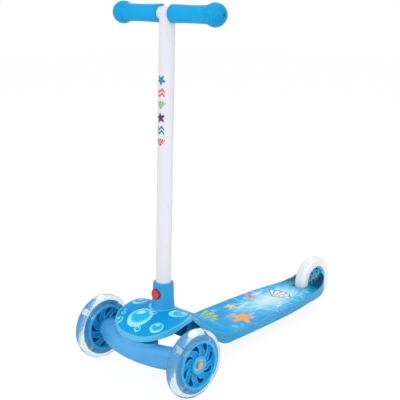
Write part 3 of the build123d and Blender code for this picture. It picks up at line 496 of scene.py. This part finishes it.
def deck_film_material():
    """A generic seaside print: surf in the middle, shells, starfish and bubbles on blue water, and painted shade
    on the tail's sides.
    """
    shader, x, d = film_surface("deck_print")
    cloud = shader.noise(14.0, 5.0, 0.6)
    color = shader.mix(shader.step(cloud, 0.3, 0.75), srgb(0, 156, 230), srgb(20, 184, 246))
    surf_centre, surf_radii = (0.002, 0.352), (0.052, 0.130)
    away = oval(shader, x, d, surf_centre, surf_radii)
    froth = shader.noise(30.0, 6.0, 0.65)
    ragged = shader.math("MULTIPLY_ADD", froth, 0.7, shader.minus(away, 0.35))
    color = shader.mix(shader.times(shader.step(ragged, 1.15, 0.45), 0.8), color, srgb(84, 214, 248))
    color = shader.mix(shader.times(shader.step(ragged, 0.80, 0.10), 0.9), color, srgb(226, 250, 255))
    streaks = shader.add("ShaderNodeMapping", {0: shader.position})
    streaks.inputs["Scale"].default_value = (60.0, 16.0, 1.0)
    foam = shader.step(shader.noise(1.0, 7.0, 0.7, streaks.outputs[0]), 0.50, 0.64)
    near = shader.step(away, 1.25, 0.75)
    color = shader.mix(shader.times(shader.times(foam, near), 0.75), color, srgb(240, 253, 255))
    drift = shader.times(shader.noise(26.0, 2.0), 9.0)
    ripple = shader.math("SINE", shader.math("MULTIPLY_ADD", d, 240.0, drift))
    crest = shader.times(shader.step(ripple, 0.88, 0.98), shader.band(d, 0.350, 0.050, 0.050))
    color = shader.mix(shader.times(crest, 0.4), color, srgb(190, 242, 255))
    deep = shader.step(d, 0.405, 0.450)
    color = shader.mix(shader.times(deep, 0.8), color, srgb(0, 176, 226))
    # Painted shade: a dark band on both sides of the tail, where the film curls up beside the rear wheel.
    off_middle = shader.step(shader.absolute(x), 0.006, 0.022)
    tail_shade = shader.times(shader.step(d, 0.432, 0.476), off_middle)
    color = shader.mix(shader.times(tail_shade, 0.92), color, srgb(14, 54, 92))
    color = shell(shader, color, x, d, (-0.040, 0.172), 0.046, 55, srgb(156, 216, 176), srgb(70, 146, 116))
    color = starfish(shader, color, x, d, (0.026, 0.232), 0.027, 18, srgb(252, 170, 78), srgb(224, 96, 44))
    color = shell(shader, color, x, d, (-0.004, 0.362), 0.040, 82, srgb(250, 252, 255), srgb(52, 92, 150))
    color = starfish(shader, color, x, d, (-0.036, 0.330), 0.014, 5, srgb(240, 124, 112), srgb(196, 66, 84))
    color = starfish(shader, color, x, d, (-0.030, 0.262), 0.013, 50, srgb(250, 226, 150), srgb(226, 160, 90))
    # centre and radius of each bubble
    for centre, size in [
        ((0.043, 0.190), 0.0060), ((0.046, 0.208), 0.0034), ((-0.006, 0.250), 0.0048), ((0.004, 0.262), 0.0030),
        ((-0.040, 0.222), 0.0060), ((0.040, 0.318), 0.0062), ((0.033, 0.334), 0.0036), ((-0.038, 0.318), 0.0066),
        ((-0.028, 0.332), 0.0038), ((0.026, 0.402), 0.0058), ((-0.008, 0.412), 0.0036), ((0.034, 0.432), 0.0042),
        ((-0.034, 0.418), 0.0048), ((0.000, 0.306), 0.0052), ((0.012, 0.148), 0.0050), ((0.024, 0.128), 0.0036),
    ]:
        color = bubble(shader, color, x, d, centre, (size, size * 0.92), 25, 0.45)
    shader.link("Base Color", color)
    shader.link("Normal", shader.bump(shader.noise(900.0, 2.0), 0.00002, 0.4))
    return shader.material


# ---- every node gets its finish ----
white_paint = white_paint_material()
grip_rubber = grip_material()
steel = steel_material("steel", srgb(214, 212, 206), 0.26)
spring_steel = steel_material("spring_steel", srgb(180, 180, 184), 0.35)
brass = steel_material("brass", srgb(205, 170, 100), 0.35)
light_module = steel_material("light_module", srgb(226, 232, 238), 0.3, 0.3)
clear_tyre = clear_tyre_material()
white_tyre = milky_tyre_material()
nose_print = nose_film_material()
deck_print = deck_film_material()

finishes = {
    "azure_plastic": azure, "deep_blue_plastic": deep_blue, "print_film": deck_print, "white_paint": white_paint,
    "grip_rubber": grip_rubber, "red_plastic": red, "clear_tyre": clear_tyre,
    "wheel_blue": front_wheel_blue, "white_tyre": white_tyre, "steel": steel,
    "spring_steel": spring_steel, "light_module": light_module, "white_bush": white_bush,
    "brass": brass,
}
own_finishes = {
    "nose_film": nose_print, "deck": deck_azure, "stem_socket": socket_azure, "rear_wheel_core": rear_wheel_blue,
}
for part in frame["record"]["subparts"]:
    finish = own_finishes.get(part["node"]) or finishes[part["material_slot"]]
    for slot in nodes[part["node"]].material_slots:
        slot.material = finish


# ---- floor, light and camera ----
floor_size = 12
floor_glow, floor_glow_share = 1.08, 0.84
world_light, world_seen = 0.62, 1.0
camera_azimuth, camera_elevation = radians(43.185), radians(14.454)
camera_place = (1.00355, -1.17330, 0.67286)
camera_lens, camera_sensor = 75.22, 36.0


def seen_directly(tree):
    """1 for what the camera sees by itself or through the clear tyres, 0 for the light on the scooter."""
    rays = tree.nodes.new("ShaderNodeLightPath")
    seen = tree.nodes.new("ShaderNodeMath")
    seen.operation = "MAXIMUM"
    tree.links.new(rays.outputs["Is Camera Ray"], seen.inputs[0])
    tree.links.new(rays.outputs["Is Transmission Ray"], seen.inputs[1])
    return seen.outputs[0]


def stage_material():
    """A pale floor that keeps a soft shadow, and is close to white where it is seen."""
    material = bpy.data.materials.new("studio_floor")
    material.use_nodes = True
    tree = material.node_tree
    tree.nodes.clear()
    out = tree.nodes.new("ShaderNodeOutputMaterial")
    mix = tree.nodes.new("ShaderNodeMixShader")
    diffuse = tree.nodes.new("ShaderNodeBsdfDiffuse")
    glow = tree.nodes.new("ShaderNodeEmission")
    diffuse.inputs[0].default_value = (0.86, 0.86, 0.87, 1)
    glow.inputs[0].default_value = (1, 1, 1, 1)
    glow.inputs[1].default_value = floor_glow
    share = tree.nodes.new("ShaderNodeMath")
    share.operation = "MULTIPLY"
    share.inputs[1].default_value = floor_glow_share
    tree.links.new(seen_directly(tree), share.inputs[0])
    tree.links.new(share.outputs[0], mix.inputs[0])
    tree.links.new(diffuse.outputs[0], mix.inputs[1])
    tree.links.new(glow.outputs[0], mix.inputs[2])
    tree.links.new(mix.outputs[0], out.inputs[0])
    return material


bpy.ops.mesh.primitive_plane_add(size=floor_size, location=(0, 0, 0))
floor = bpy.context.object
floor.name = "studio_floor"
floor.data.materials.append(stage_material())

world = bpy.data.worlds.new("studio")
bpy.context.scene.world = world
world.use_nodes = True
tree = world.node_tree
background = tree.nodes["Background"]
background.inputs[0].default_value = (1, 1, 1, 1)
level = tree.nodes.new("ShaderNodeMapRange")
level.inputs[3].default_value = world_light
level.inputs[4].default_value = world_seen
tree.links.new(seen_directly(tree), level.inputs[0])
tree.links.new(level.outputs[0], background.inputs[1])


def soft_box(name, place, target, size, energy):
    """A rectangular lamp at place, turned to target."""
    lamp = bpy.data.lights.new(name, "AREA")
    lamp.shape = "RECTANGLE"
    lamp.size, lamp.size_y = size
    lamp.energy = energy
    obj = bpy.data.objects.new(name, lamp)
    bpy.context.scene.collection.objects.link(obj)
    obj.location = place
    obj.rotation_mode = "QUATERNION"
    obj.rotation_quaternion = (Vector(target) - Vector(place)).to_track_quat("-Z", "Y")


soft_box("key_light", (0.3, -1.9, 1.9), (0, 0, 0.25), (1.2, 1.2), 16)
soft_box("fill_light", (1.9, 0.5, 1.2), (0, 0, 0.25), (1.4, 1.4), 11.5)
soft_box("strip_light", (0.23, -1.48, 0.62), (0, -0.2, 0.45), (0.12, 1.0), 0.9)
soft_box("back_light", (-1.4, 1.6, 1.7), (0, 0, 0.25), (1.2, 1.2), 10)

back_vector = Vector((
    sin(camera_azimuth) * cos(camera_elevation),
    -cos(camera_azimuth) * cos(camera_elevation),
    sin(camera_elevation),
))
camera = bpy.data.objects.new("camera", bpy.data.cameras.new("camera"))
bpy.context.scene.collection.objects.link(camera)
bpy.context.scene.camera = camera
camera.location = camera_place
camera.rotation_mode = "QUATERNION"
camera.rotation_quaternion = (-back_vector).to_track_quat("-Z", "Y")
camera.data.lens = camera_lens
camera.data.sensor_width = camera_sensor
bpy.context.scene.view_settings.view_transform = "Standard"
